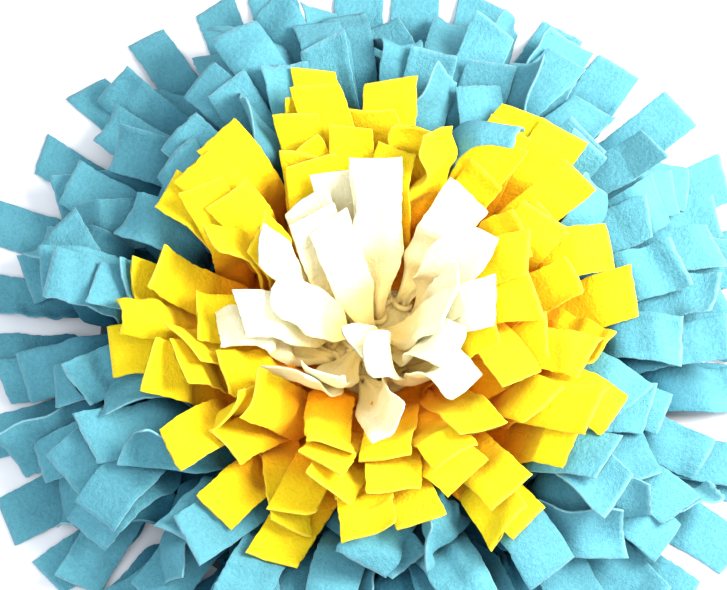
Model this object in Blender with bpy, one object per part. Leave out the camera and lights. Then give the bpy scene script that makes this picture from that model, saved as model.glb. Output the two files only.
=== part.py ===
"""A snuffle mat: fleece strips in three colours, knotted by their middles on a round base mat.

Metres, +Z up. The mat lies on the plane z = 0 with its centre at the origin.
"""

import math
import random
from dataclasses import dataclass, replace

import bmesh
import bpy
from mathutils import Quaternion, Vector
from mathutils.bvhtree import BVHTree

MM = 0.001
DEG = math.pi / 180

# Strips: each one makes two tails, from its knot to its cut ends
STRIP_WIDTH = 27 * MM
NARROWEST = 0.88
WIDEST = 1.08
FLEECE = 1.6 * MM
TAIL = 82 * MM
TAIL_LEAST = 0.88
TAIL_MOST = 1.06
NECK_WIDTH = 9 * MM
NECK_DEPTH = 4.0 * MM
NECK_END = 8 * MM
SPREAD_END = 23 * MM
MOST_SKEW = 4 * MM

# Base mat and the bed of knots on it
BASE_RADIUS = 152 * MM
BASE_THICK = 4 * MM
BASE_RIM = 1.2 * MM
KNOT_BED = 2.6 * MM
ROOT_SINK = 1.2 * MM
GAP = 0.3 * MM
BED_TOP = BASE_THICK + GAP + KNOT_BED
ROUND_STEPS = 72

# The lowest outer tails: level over the rim, then down on to the floor
FLOOR_LEVEL = 10 * MM
FLOOR_DROP = 30 * MM
FLOOR_STEP = 0.5 * MM

# How the tails are laid
SEED = 10
INNER_SEED = 43
STAND_OFF = 0.35 * MM
SIDE_OFF = 0.3 * MM
STEEPEST_FALL = -0.6
BEND_STEP = 9 * DEG
MOST_UP = 24 * DEG
MOST_TESTS = 200
TRIES = 16
SHOWN_TRIES = 6

# How freely the tails of each layer lie: heading, roll and twist each way in degrees,
# how far each try strays from that, and how many in ten are twisted over or curled
LAYERS = {
    "floor": {"heading": 5, "roll": 0, "twist": 0, "stray": 5, "twisted": 0, "curled": 0},
    "lower": {"heading": 12, "roll": 4, "twist": 10, "stray": 5, "twisted": 0, "curled": 0},
    "upper": {"heading": 46, "roll": 30, "twist": 44, "stray": 10, "twisted": 2.0, "curled": 3.0},
    "inner": {"heading": 24, "roll": 16, "twist": 26, "stray": 12, "twisted": 0.6, "curled": 1.5},
}

# Stretches of a tail past its neck: share of the length at its end, most bend down in degrees
STRETCHES = (
    (None, 62),
    (0.52, 50),
    (0.76, 38),
    (1.0, 34),
)

# bed of knots, inner and outer radius in mm
BEDS = (
    ("blue_outer_strips", 131.3, 149.0),
    ("blue_inner_strips", 87.3, 131.0),
    ("yellow_strips", 31.8, 87.0),
    ("cream_strips", 0.0, 31.5),
)

# bed, radius of the row in mm, tails, half the zigzag of its knots in mm
ROWS = (
    ("blue_outer_strips", 143, 64, 3),
    ("blue_inner_strips", 121, 47, 3),
    ("blue_inner_strips", 99, 39, 3),
    ("yellow_strips", 77, 34, 3),
    ("yellow_strips", 57, 26, 3),
    ("yellow_strips", 41, 14, 2),
    ("cream_strips", 25, 14, 1),
    ("cream_strips", 13, 8, 0),
    ("cream_strips", 4, 2, 0),
)
INNER_ROWS = 6

# Tails that stand out: row, azimuth of the knot, heading, roll, twist, curl in degrees, length in mm
SHOWN = (
    (8, 0, 342, 4, -8, 20, 88),
    (8, 180, 124, -4, 8, 10, 76),
    (7, 0, 12, -10, 14, 10, 84),
    (7, 45, 50, 8, 12, 0, 78),
    (7, 90, 92, 0, 4, -10, 88),
    (7, 135, 132, -20, 10, 0, 80),
    (7, 180, 168, 10, -10, 20, 80),
    (7, 225, 196, 24, -20, 10, 78),
    (7, 270, 300, 30, 60, 0, 66),
    (7, 315, 326, 10, -16, 10, 86),
    (6, 0, 2, -10, 20, 10, 88),
    (6, 26, 34, 14, 10, 10, 84),
    (6, 51, 60, -14, 16, 0, 80),
    (6, 77, 90, 0, 4, -10, 88),
    (6, 103, 110, -10, 10, 0, 80),
    (6, 129, 140, 12, -20, 10, 88),
    (6, 154, 160, -10, 24, 10, 88),
    (6, 180, 180, 14, -20, 10, 88),
    (6, 206, 192, -16, 26, 20, 86),
    (6, 231, 214, 20, 30, 10, 80),
    (6, 257, 244, 50, 40, 0, 76),
    (6, 283, 270, -50, -40, 0, 74),
    (6, 309, 312, 20, -30, 20, 80),
    (6, 334, 334, -14, 20, 10, 88),
    (5, 115, 104, 0, 8, 30, 84),
    (5, 82, 78, 14, -20, 30, 84),
    (5, 20, 14, -8, 10, 30, 86),
    (5, 250, 258, 10, -30, 30, 80),
    (4, 60, 52, 20, 80, 10, 84),
    (4, 160, 165, -16, 60, 0, 86),
    (4, 215, 225, 20, 70, 60, 80),
    (4, 300, 296, 10, -14, 60, 80),
    (4, 340, 334, -10, -40, 15, 84),
    (3, 131, 137, 4, -6, 0, 88),
    (3, 105, 104, 10, -24, 0, 86),
    (3, 36, 33, -6, 10, 0, 88),
    (3, 22, 24, 14, -60, 20, 84),
    (3, 190, 186, 0, 5, 5, 86),
    (3, 247, 243, 30, 80, 30, 84),
    (3, 275, 276, 0, 4, 30, 86),
    (3, 309, 306, -20, 50, 10, 84),
    (3, 337, 336, 8, -10, 0, 88),
    (1, 100, 96, 4, 10, 60, 86),
    (1, 64, 70, -6, 8, 60, 86),
    (1, 170, 172, 0, 6, 0, 88),
    (1, 315, 318, 10, 30, 60, 86),
)

# name, linear colour, roughness
FINISHES = (
    ("base_mat", (0.12, 0.13, 0.15), 0.8),
    ("blue_outer_strips", (0.10, 0.47, 0.66), 0.95),
    ("blue_inner_strips", (0.10, 0.47, 0.66), 0.95),
    ("yellow_strips", (0.95, 0.68, 0.01), 0.95),
    ("cream_strips", (0.93, 0.87, 0.70), 0.95),
)


@dataclass
class Tail:
    row: int
    root: Vector
    heading: float
    rise: float
    roll: float
    twist: float
    curl: float
    skew: float
    width: float
    length: float
    opens: float
    on_floor: bool
    stops: tuple = ()


def spread(tail, s):
    """0 on the gathered neck, 1 where the strip has opened to its full width"""
    t = min(1.0, max(0.0, (s - NECK_END) / (tail.opens - NECK_END)))
    return t * t * (3 - 2 * t)


def marks(tail):
    """How far along the tail each of its stops is"""
    return [NECK_END, SPREAD_END, *(share * tail.length for share, _ in STRETCHES[1:])]


def foot_ring(tail, thicker, wider):
    """The four corners inside the bed of knots"""
    foot = Vector((tail.root.x, tail.root.y, BED_TOP - ROOT_SINK))
    flat = Quaternion((0, 0, 1), tail.heading)
    x, y = NECK_DEPTH / 2 + thicker, NECK_WIDTH / 2 + wider
    return [foot + flat @ Vector(c) for c in ((x, -y, 0), (x, y, 0), (-x, y, 0), (-x, -y, 0))]


def ring(tail, stop, thicker, wider):
    """The four corners of the tail at a stop: its place, its turn and how far along it is"""
    point, turn, along = stop
    opened = spread(tail, along)
    y = (NECK_WIDTH + (tail.width - NECK_WIDTH) * opened) / 2 + wider
    z = (NECK_DEPTH + (FLEECE - NECK_DEPTH) * opened) / 2 + thicker
    skew = tail.skew if along > tail.length - MM else 0.0
    corners = ((-skew, -y, -z), (skew, y, -z), (skew, y, z), (-skew, -y, z))
    return [point + turn @ Vector(c) for c in corners]


def ring_faces(count):
    """Triangles of a tube of four-cornered rings, closed at both ends, alike above and below"""
    faces = [(3, 2, 1), (3, 1, 0)]
    for a in range(0, 4 * (count - 1), 4):
        b = a + 4
        faces += [(a, a + 1, b + 1), (a, b + 1, b)]
        faces += [(a + 1, a + 2, b + 2), (a + 1, b + 2, b + 1)]
        faces += [(a + 2, a + 3, b + 2), (a + 3, b + 3, b + 2)]
        faces += [(a + 3, a, b), (a + 3, b, b + 3)]
    last = 4 * (count - 1)
    faces += [(last, last + 1, last + 2), (last, last + 2, last + 3)]
    return faces


def ribbon(tail, thicker=0.0, wider=0.0):
    """Corners and faces of the tail as a four-sided solid, from inside its bed of knots"""
    points = foot_ring(tail, thicker, wider)
    for stop in tail.stops:
        points += ring(tail, stop, thicker, wider)
    return points, ring_faces(len(tail.stops) + 1)


def box_of(points):
    low = [min(p[i] for p in points) for i in range(3)]
    high = [max(p[i] for p in points) for i in range(3)]
    return low, high


def boxes_meet(a, b):
    return all(a[0][i] < b[1][i] and b[0][i] < a[1][i] for i in range(3))


class Pile:
    """The tails laid so far, asked whether a piece of one more would touch any of them"""

    def __init__(self):
        self.laid = []
        self.tests = 0

    def leaves_room(self, points):
        self.tests += 1
        for p in points:
            over_bed = math.hypot(p.x, p.y) < BASE_RADIUS + 2 * MM
            if p.z < (BED_TOP if over_bed else GAP):
                return False
        return self.meets_none(points)

    def meets_none(self, points):
        box = box_of(points)
        near = [tree for tree, other in self.laid if boxes_meet(box, other)]
        if not near:
            return True
        own = BVHTree.FromPolygons(points, ring_faces(len(points) // 4))
        return not any(own.overlap(tree) for tree in near)

    def add(self, tail):
        points, faces = ribbon(tail)
        self.laid.append((BVHTree.FromPolygons(points, faces), box_of(points)))


def floor_stops(tail):
    """The stops of a tail that drops over the rim and rests level on the floor"""
    high = BED_TOP + NECK_DEPTH / 2 + GAP
    low = FLEECE / 2
    flat = Quaternion((0, 0, 1), tail.heading)
    out, along, stops = 0.0, 0.0, []
    wanted = [*marks(tail)[:2], FLOOR_LEVEL + FLOOR_DROP + 2 * MM, 0.76 * tail.length, tail.length]
    for mark in wanted:
        while along < mark:
            t = min(1.0, max(0.0, (out - FLOOR_LEVEL) / FLOOR_DROP))
            pitch = math.atan((high - low) * math.pi / (2 * FLOOR_DROP) * math.sin(math.pi * t))
            out += FLOOR_STEP * math.cos(pitch)
            along += FLOOR_STEP
        t = min(1.0, max(0.0, (out - FLOOR_LEVEL) / FLOOR_DROP))
        pitch = math.atan((high - low) * math.pi / (2 * FLOOR_DROP) * math.sin(math.pi * t))
        place = Vector((tail.root.x, tail.root.y, 0)) + flat @ Vector((out, 0, 0))
        place.z = low + (high - low) * (1 + math.cos(math.pi * t)) / 2
        stops.append((place, flat @ Quaternion((0, 1, 0), pitch), mark))
    return tuple(stops)


def bends(most, curl):
    """The bends to try at one stop, the furthest over first"""
    steps = int((most + curl + MOST_UP) / BEND_STEP)
    return [most + curl - k * BEND_STEP for k in range(steps + 1)]


def drape(pile, tail, stops, turn):
    """The stops of the tail laid over the pile stretch by stretch, or None where it has no room"""
    level = len(stops) - 1
    if level == len(STRETCHES):
        return stops
    ends = marks(tail)
    length = ends[level + 1] - ends[level]
    curl = tail.curl if level > 1 else 0.0
    spin = Quaternion((1, 0, 0), tail.twist / len(STRETCHES))
    point, _, along = stops[-1]
    for bend in bends(STRETCHES[level][1] * DEG, curl):
        after = turn @ Quaternion((0, 1, 0), bend) @ spin
        ahead = after @ Vector((1, 0, 0))
        if ahead.z < STEEPEST_FALL and curl <= 0:
            continue
        if pile.tests > MOST_TESTS:
            return None
        joint = (point, turn.slerp(after, 0.5), along)
        end = (point + ahead * length, after, ends[level + 1])
        before = ring(tail, stops[-2], STAND_OFF, SIDE_OFF) if level else foot_ring(tail, 0, 0)
        points = [*before, *ring(tail, joint, STAND_OFF, SIDE_OFF), *ring(tail, end, STAND_OFF, SIDE_OFF)]
        room = pile.leaves_room(points) if level else pile.leaves_room(points[4:]) and pile.meets_none(points)
        if room:
            found = drape(pile, tail, [*stops[:-1], joint, end], after)
            if found:
                return found
    return None


def lay(pile, tail):
    """True once the tail has its stops and touches nothing"""
    if tail.on_floor:
        tail.stops = floor_stops(tail)
        points, _ = ribbon(tail, STAND_OFF, SIDE_OFF)
        return pile.meets_none(points)
    turn = Quaternion((0, 0, 1), tail.heading) @ Quaternion((0, 1, 0), -tail.rise)
    turn = turn @ Quaternion((1, 0, 0), tail.roll)
    neck = tail.root + turn @ Vector((NECK_END, 0, 0))
    pile.tests = 0
    found = drape(pile, tail, [(neck, turn, NECK_END)], turn)
    tail.stops = tuple(found or ())
    return bool(found)


def new_tail(rng, row, on_floor):
    """A tail of this row as it leaves its knot, heading straight out, before it's turned and laid over"""
    return Tail(
        row=row,
        root=Vector(),
        heading=0.0,
        rise=rng.uniform(72, 86) * DEG,
        roll=0.0,
        twist=0.0,
        curl=0.0,
        skew=rng.uniform(-MOST_SKEW, MOST_SKEW),
        width=STRIP_WIDTH * rng.uniform(NARROWEST, WIDEST),
        length=TAIL * rng.uniform(TAIL_LEAST, TAIL_MOST),
        opens=SPREAD_END * (1.5 if row >= INNER_ROWS else 1.0),
        on_floor=on_floor,
    )


def habit(rng, layer):
    """How one tail of this layer lies by nature: heading off the radius, roll, twist and curl in degrees"""
    ways = LAYERS[layer]
    aside, roll, twist = (rng.uniform(-1, 1) * ways[way] for way in ("heading", "roll", "twist"))
    kind = rng.uniform(0, 10)
    if kind < ways["twisted"]:
        return aside, roll, math.copysign(rng.uniform(60, 130), twist), 0.0
    if kind < ways["twisted"] + ways["curled"]:
        return aside, roll, twist, rng.uniform(25, 55)
    return aside, roll, twist, 0.0


def shown_tail(row, azimuth, reach):
    """The tail of SHOWN that stands in this row within this reach of the azimuth"""
    for shown in SHOWN:
        away = (shown[1] * DEG - azimuth + math.pi) % (2 * math.pi) - math.pi
        if shown[0] == row and abs(away) < reach:
            return shown
    return None


def lay_tails():
    """All the tails, the outer rows first, and in each row those below before those above"""
    rng = random.Random(SEED)
    pile = Pile()
    tails = []
    for row, (_, radius, count, zigzag) in enumerate(ROWS):
        inner = row >= INNER_ROWS
        if row == INNER_ROWS:
            rng = random.Random(INNER_SEED)
        phase = 0 if inner else rng.random()
        pitch = 2 * math.pi / count
        for k in [*range(0, count, 2), *range(1, count, 2)]:
            upper = k % 2 == 1
            layer = "upper" if upper else "lower" if row else "floor"
            if inner:
                layer = "inner"
            reach = pitch / 2 if inner else pitch
            shown = shown_tail(row, (k + phase) * pitch, reach) if upper or inner else None
            aside, roll, twist, curl = habit(rng, layer)
            model = new_tail(rng, row, row == 0 and not upper)
            out = (radius + (-zigzag if upper else zigzag)) * MM
            best, lowest = None, 1.0
            for attempt in range(TRIES):
                azimuth = (k + phase + rng.uniform(-0.25, 0.25)) * pitch
                stray = rng.uniform(-1, 1) * LAYERS[layer]["stray"]
                tail = replace(
                    model,
                    root=Vector((out * math.cos(azimuth), out * math.sin(azimuth), BED_TOP)),
                    heading=azimuth + (aside + stray) * DEG,
                    roll=(roll + rng.uniform(-1, 1) * LAYERS[layer]["stray"]) * DEG,
                    twist=twist * rng.uniform(0.7, 1.1) * DEG,
                    curl=curl * DEG,
                )
                if shown and attempt < SHOWN_TRIES:
                    _, _, heading, own_roll, own_twist, own_curl, length = shown
                    tail.heading = (heading + stray / 2) * DEG
                    tail.roll, tail.twist, tail.curl = own_roll * DEG, own_twist * DEG, own_curl * DEG
                    tail.length = length * MM
                if not lay(pile, tail):
                    continue
                height = sum(point.z for point, _, _ in tail.stops)
                if height < lowest:
                    best, lowest = tail, height
                if shown and best and attempt == SHOWN_TRIES - 1:
                    break
            if best:
                pile.add(best)
                tails.append(best)
    return tails


def add_mesh(name, points, faces):
    mesh = bpy.data.meshes.new(name)
    mesh.from_pydata([tuple(p) for p in points], [], faces)
    mesh.update()
    obj = bpy.data.objects.new(name, mesh)
    bpy.context.scene.collection.objects.link(obj)
    return obj


def turned(name, profile):
    """The closed profile of (radius, height) points swept round the Z axis"""
    bm = bmesh.new()
    rings = []
    for radius, height in profile:
        if radius < 1e-6:
            rings.append([bm.verts.new((0, 0, height))])
            continue
        angles = [2 * math.pi * k / ROUND_STEPS for k in range(ROUND_STEPS)]
        rings.append([bm.verts.new((radius * math.cos(a), radius * math.sin(a), height)) for a in angles])
    for a, b in zip(rings, rings[1:] + rings[:1]):
        if len(a) == len(b) == 1:
            continue
        for k in range(ROUND_STEPS):
            m = (k + 1) % ROUND_STEPS
            corners = [a[k % len(a)], a[m % len(a)], b[m % len(b)], b[k % len(b)]]
            bm.faces.new(list(dict.fromkeys(corners)))
    bmesh.ops.recalc_face_normals(bm, faces=bm.faces)
    mesh = bpy.data.meshes.new(name)
    bm.to_mesh(mesh)
    bm.free()
    obj = bpy.data.objects.new(name, mesh)
    bpy.context.scene.collection.objects.link(obj)
    return obj


def make_base():
    rim = BASE_RADIUS - BASE_RIM
    profile = [
        (0, 0),
        (rim, 0),
        (BASE_RADIUS, BASE_RIM),
        (BASE_RADIUS, BASE_THICK - BASE_RIM),
        (rim, BASE_THICK),
        (0, BASE_THICK),
    ]
    return turned("base_mat", profile)


def make_strips(name, inner, outer, tails):
    """One bed of knots with the tails that rise from it"""
    low, high = BASE_THICK + GAP, BED_TOP
    bed = turned(name, [(inner, low), (outer, low), (outer, high), (inner, high)])
    points, faces = [], []
    for tail in tails:
        if ROWS[tail.row][0] != name:
            continue
        own, sides = ribbon(tail)
        faces += [tuple(i + len(points) for i in side) for side in sides]
        points += own
    loose = add_mesh(name + "_tails", points, faces)
    loose.hide_render = True
    loose.display_type = "WIRE"
    union = bed.modifiers.new("Fuse the roots", "BOOLEAN")
    union.operation = "UNION"
    union.solver = "EXACT"
    union.object = loose
    return bed


def finish_all():
    for name, colour, roughness in FINISHES:
        material = bpy.data.materials.new(name)
        material.use_nodes = True
        shader = material.node_tree.nodes["Principled BSDF"]
        shader.inputs["Base Color"].default_value = (*colour, 1.0)
        shader.inputs["Roughness"].default_value = roughness
        bpy.data.objects[name].data.materials.append(material)


def main():
    for obj in list(bpy.data.objects):
        bpy.data.objects.remove(obj)
    make_base()
    tails = lay_tails()
    for name, inner, outer in BEDS:
        make_strips(name, inner * MM, outer * MM, tails)
    finish_all()


main()
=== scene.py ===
"""Fleece and rubber for a snuffle mat: strips in three colours, knotted on a round base mat."""

import functools
import itertools
import math
import random
from dataclasses import dataclass, replace

import bpy
import numpy as np
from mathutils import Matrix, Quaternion, Vector
from mathutils.bvhtree import BVHTree


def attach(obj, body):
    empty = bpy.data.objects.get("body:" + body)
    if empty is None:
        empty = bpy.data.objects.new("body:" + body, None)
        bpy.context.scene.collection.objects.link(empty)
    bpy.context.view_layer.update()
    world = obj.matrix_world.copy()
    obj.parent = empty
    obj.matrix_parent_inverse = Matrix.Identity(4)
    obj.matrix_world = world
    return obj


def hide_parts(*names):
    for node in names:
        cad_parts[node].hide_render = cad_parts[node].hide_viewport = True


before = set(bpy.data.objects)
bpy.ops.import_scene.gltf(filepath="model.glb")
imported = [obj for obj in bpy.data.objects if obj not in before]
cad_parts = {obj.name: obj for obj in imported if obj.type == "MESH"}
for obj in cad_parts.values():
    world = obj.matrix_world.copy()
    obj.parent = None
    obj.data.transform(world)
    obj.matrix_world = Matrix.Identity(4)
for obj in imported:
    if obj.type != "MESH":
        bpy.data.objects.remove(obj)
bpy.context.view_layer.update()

bl_info = {
    "name": "Snuffle Mat",
    "version": (1, 0, 0),
    "blender": (4, 5, 0),
    "location": "View3D > Sidebar > Snuffle Mat",
    "description": "Lays fleece strips on a round base mat, with their stage",
    "category": "Object",
}

MM = 0.001
DEG = math.pi / 180

# Strips: each one makes two tails, from its knot to its cut ends
STRIP_WIDTH = 27 * MM
NARROWEST = 0.88
WIDEST = 1.08
FLEECE = 1.6 * MM
TAIL = 82 * MM
TAIL_LEAST = 0.88
TAIL_MOST = 1.06
NECK_WIDTH = 9 * MM
NECK_DEPTH = 4.0 * MM
NECK_END = 8 * MM
SPREAD_END = 23 * MM
MOST_SKEW = 4 * MM

# Base mat and the bed of knots on it
BASE_RADIUS = 152 * MM
BASE_THICK = 4 * MM
KNOT_BED = 2.6 * MM
ROOT_SINK = 1.2 * MM
GAP = 0.3 * MM
BED_TOP = BASE_THICK + GAP + KNOT_BED

# The lowest outer tails: level over the rim, then down on to the floor
FLOOR_LEVEL = 10 * MM
FLOOR_DROP = 30 * MM
FLOOR_STEP = 0.5 * MM
PAST_DROP = 2 * MM

# How the tails are laid: draws, room kept between them, bends, tests and tries
SEED = 10
INNER_SEED = 43
STAND_OFF = 0.35 * MM
SIDE_OFF = 0.3 * MM
STEEPEST_FALL = -0.6
BEND_STEP = 9 * DEG
MOST_UP = 24 * DEG
MOST_TESTS = 200
TRIES = 16
SHOWN_TRIES = 6
RIM_ROOM = 2 * MM
SIDESTEP = 0.25

# Drawn for each tail, least and most: rise, twist and curl in degrees, share of its layer's twist
RISE = (72, 86)
TWISTED = (60, 130)
CURLED_OVER = (25, 55)
TWIST_SHARE = (0.7, 1.1)

# How freely the tails of each layer lie: heading, roll and twist each way in degrees,
# how far each try strays from that, and how many in ten are twisted over or curled
LAYERS = {
    "floor": {"heading": 5, "roll": 0, "twist": 0, "stray": 5, "twisted": 0, "curled": 0},
    "lower": {"heading": 12, "roll": 4, "twist": 10, "stray": 5, "twisted": 0, "curled": 0},
    "upper": {"heading": 46, "roll": 30, "twist": 44, "stray": 10, "twisted": 2.0, "curled": 3.0},
    "inner": {"heading": 24, "roll": 16, "twist": 26, "stray": 12, "twisted": 0.6, "curled": 1.5},
}

# Stretches of a tail past its neck: share of the length at its end, most bend down in degrees
STRETCHES = (
    (None, 62),
    (0.52, 50),
    (0.76, 38),
    (1.0, 34),
)

# bed of knots, inner and outer radius in mm
BEDS = (
    ("blue_outer_strips", 131.3, 149.0),
    ("blue_inner_strips", 87.3, 131.0),
    ("yellow_strips", 31.8, 87.0),
    ("cream_strips", 0.0, 31.5),
)

# bed, radius of the row in mm, tails, half the zigzag of its knots in mm
ROWS = (
    ("blue_outer_strips", 143, 64, 3),
    ("blue_inner_strips", 121, 47, 3),
    ("blue_inner_strips", 99, 39, 3),
    ("yellow_strips", 77, 34, 3),
    ("yellow_strips", 57, 26, 3),
    ("yellow_strips", 41, 14, 2),
    ("cream_strips", 25, 14, 1),
    ("cream_strips", 13, 8, 0),
    ("cream_strips", 4, 2, 0),
)
INNER_ROWS = 6
INNER_OPENS = 1.5

# Tails that stand out: row, azimuth of the knot, heading, roll, twist, curl in degrees, length in mm
SHOWN = (
    (8, 0, 342, 4, -8, 20, 88),
    (8, 180, 124, -4, 8, 10, 76),
    (7, 0, 12, -10, 14, 10, 84),
    (7, 45, 50, 8, 12, 0, 78),
    (7, 90, 92, 0, 4, -10, 88),
    (7, 135, 132, -20, 10, 0, 80),
    (7, 180, 168, 10, -10, 20, 80),
    (7, 225, 196, 24, -20, 10, 78),
    (7, 270, 300, 30, 60, 0, 66),
    (7, 315, 326, 10, -16, 10, 86),
    (6, 0, 2, -10, 20, 10, 88),
    (6, 26, 34, 14, 10, 10, 84),
    (6, 51, 60, -14, 16, 0, 80),
    (6, 77, 90, 0, 4, -10, 88),
    (6, 103, 110, -10, 10, 0, 80),
    (6, 129, 140, 12, -20, 10, 88),
    (6, 154, 160, -10, 24, 10, 88),
    (6, 180, 180, 14, -20, 10, 88),
    (6, 206, 192, -16, 26, 20, 86),
    (6, 231, 214, 20, 30, 10, 80),
    (6, 257, 244, 50, 40, 0, 76),
    (6, 283, 270, -50, -40, 0, 74),
    (6, 309, 312, 20, -30, 20, 80),
    (6, 334, 334, -14, 20, 10, 88),
    (5, 115, 104, 0, 8, 30, 84),
    (5, 82, 78, 14, -20, 30, 84),
    (5, 20, 14, -8, 10, 30, 86),
    (5, 250, 258, 10, -30, 30, 80),
    (4, 60, 52, 20, 80, 10, 84),
    (4, 160, 165, -16, 60, 0, 86),
    (4, 215, 225, 20, 70, 60, 80),
    (4, 300, 296, 10, -14, 60, 80),
    (4, 340, 334, -10, -40, 15, 84),
    (3, 131, 137, 4, -6, 0, 88),
    (3, 105, 104, 10, -24, 0, 86),
    (3, 36, 33, -6, 10, 0, 88),
    (3, 22, 24, 14, -60, 20, 84),
    (3, 190, 186, 0, 5, 5, 86),
    (3, 247, 243, 30, 80, 30, 84),
    (3, 275, 276, 0, 4, 30, 86),
    (3, 309, 306, -20, 50, 10, 84),
    (3, 337, 336, 8, -10, 0, 88),
    (1, 100, 96, 4, 10, 60, 86),
    (1, 64, 70, -6, 8, 60, 86),
    (1, 170, 172, 0, 6, 0, 88),
    (1, 315, 318, 10, 30, 60, 86),
)

# How finely each tail is made: length of a row, points across each face, and the points round an edge by
# their turn, how far they stand out in half thicknesses, and where the fleece's pattern ends in half widths
ROW_LENGTH = 2.4 * MM
ACROSS = 11
EDGE_TURNS = (-0.5 * math.pi / 1.6, 0.0, 0.5 * math.pi / 1.6)
EDGE_BULGE = 0.6
PAST_EDGE = 1.05
TILE = 100 * MM

# The fleece as it shows: its thickness, its cut edges and its cut end
FLEECE_SHOWN = 1.4 * MM
EDGE_INSET = 0.3 * FLEECE_SHOWN
FRAY = 0.16 * MM
FRAY_SEEDS = 1000
END_THINNED = 0.7
END_AHEAD = 0.2 * MM
FLOOR_GAP = 0.1 * MM

# Waves of a cut edge: length of one radian, height in mm
EDGE_WAVES = ((7 * MM, 0.22), (17 * MM, 0.35))
# Waves of a cut end: radians over half the width, height
END_WAVES = ((9, 0.3 * MM), (23, 0.2 * MM))

# What a tail's look is drawn from: the least and the most in mm, for the cup the likeliest too,
# and for the crease its place in half widths
LOOK_SEED = 100
CUP = (-5.0, 5.0, 0.5)
PLEATS = (1, 1, 2)
FOLD = (1.0, 3.2)
FOLD_REACH = (14, 34)
RIPPLE = (0.4, 2.0)
RIPPLE_LENGTH = (15, 36)
CORNER = (-5.0, 5.0)
EDGE_ROLL = (-2.4, 2.4)
CREASE = (-0.7, 0.7)
CREASE_DEPTH = (-2.6, 2.6)

# Curl about a strip's own length, per metre: the share of the strips that curl strongly, the least and the
# most of theirs and of the others, and the sides that they curl to
CURLED_SHARE = 0.35
CURLED = (40, 95)
FLAT = (0, 25)
CURL_SIDES = (-1, 1, 1)

# Form of the pleats, the cup, the rolled edges and the crease across a strip, in half widths
PLEAT_SHARPNESS = 0.7
CUP_LEVEL = 0.35
EDGE_ROLL_POWER = 6
CREASE_LEVEL = 0.4
CREASE_REACH = 0.8

# Where the far end of a tail begins, and the length over which it does, in shares of the tail
FAR_FROM = 0.55
FAR_REACH = 0.45

# Where the painted shade at the knots begins to fade, and where it's gone
PAINTED_SHADE_FADE_FROM = 10 * MM
PAINTED_SHADE_FADE_TO = 67 * MM

# How many looks are tried on a tail, and in which ways until it clears the others: the share of its
# unevenness that it keeps, how far it's raised, and how softly it rounds its bends
LOOKS = 3
WAYS = (
    (1.0, 0, 1.0),
    (1.0, 1.5 * MM, 1.0),
    (1.0, 3.0 * MM, 1.0),
    (0.6, 0, 1.0),
    (0.6, 1.5 * MM, 0.7),
    (0.6, 3.0 * MM, 1.0),
    (0.3, 0, 0.5),
    (0.3, 1.5 * MM, 0.5),
    (0.3, 4.5 * MM, 1.0),
    (0.0, 0, 0.2),
    (0.0, 0.8 * MM, 0.2),
    (0.0, 3.0 * MM, 0.5),
)
# Distances from the root: past the first a tail has to clear the others, past the second they clear it
CROWDED = 36 * MM
GATHERED = 8 * MM

# Knot at the foot of each tail: the length of strip in a tail's half of it, points round it and round its
# section, its height over the bed, half its thickness, its room over the neck's depth and width, its slant
KNOT_ROUND = 12
KNOT_SECTION = 6
KNOT_HEIGHT = 1.6 * MM
KNOT_THICK = 1.7 * MM
KNOT_CLEAR = (1.0 * MM, 0.2 * MM)
KNOT_SLANT = 0.8 * MM
KNOT_SHIFT = 3

# The bed of knots under the tails: points round it, distance between its rings, height, count and length
# of its lumps
BED_ROUND = 180
BED_ACROSS = 3 * MM
BED_LUMP = 0.5 * MM
BED_LUMPS = (41, 67)
BED_WAVES = (5 * MM, 3 * MM)

# bed, its fleece
BED_FLEECE = {
    "blue_outer_strips": "blue",
    "blue_inner_strips": "blue",
    "yellow_strips": "yellow",
    "cream_strips": "cream",
}

# fleece: its darkest nap, how much painted highlight its cut edges take, and the colour of its painted shade
# at the knots
NAPS_AND_PAINTED_LIGHT = {
    "blue": (0.64, 0.38, (0.12, 0.28, 0.36)),
    "yellow": (0.86, 0.15, (1.0, 0.38, 0.25)),
    "cream": (0.92, 0.20, (1.0, 0.80, 0.40)),
}

# White in the painted highlight of a cut edge, light that the nap's tips have more than their share, fleece's
# colour in its sheen
EDGE_HIGHLIGHT_WHITE = 0.25
LEAST_LIGHT = 0.02
SHEEN_COLOUR = 0.8

# Nap, pills and rubbed places: scale, detail and roughness of the noise, its part in the shade and the relief
FLEECE_NOISES = (
    (120.0, 3.0, 0.65, 1.1, 0.8),
    (42.0, 2.0, 0.5, 0.6, 1.1),
    (9.0, 2.0, 0.5, 0.4, 0.7),
)
FLEECE_RELIEF = 0.75 * MM

# The rubber and the dust on it
RUBBER_DARK = (0.035, 0.038, 0.045)
RUBBER_LIGHT = (0.075, 0.078, 0.085)
RUBBER_RELIEF = 0.3 * MM

# The stage: floor, surroundings, lights with their place, size and colour, and what the camera looks at
FLOOR_WIDTH = 8
FLOOR_COLOUR = (0.74, 0.745, 0.775, 1.0)
ROOM_COLOUR = (0.92, 0.96, 1.0, 1.0)
KEY_LIGHT = ((0.62, 0.08, 0.56), 0.45, (1.0, 0.97, 0.88))
FILL_LIGHT = ((-0.4, -0.6, 1.45), 1.4, (0.89, 0.95, 1.0))
CAMERA_AIM = (-0.006, 0.018, 0.03)


@dataclass
class Tail:
    """Half of a strip, from its knot to its cut end: its place, its form and its stops"""

    row: int
    root: Vector
    heading: float
    rise: float
    roll: float
    twist: float
    curl: float
    skew: float
    width: float
    length: float
    opens: float
    on_floor: bool
    stops: tuple = ()


def spread(tail, s):
    """0 on the gathered neck, 1 where the strip has opened to its full width"""
    t = min(1.0, max(0.0, (s - NECK_END) / (tail.opens - NECK_END)))
    return t * t * (3 - 2 * t)


def marks(tail):
    """How far along the tail each of its stops is"""
    return [NECK_END, SPREAD_END, *(share * tail.length for share, _ in STRETCHES[1:])]


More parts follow.
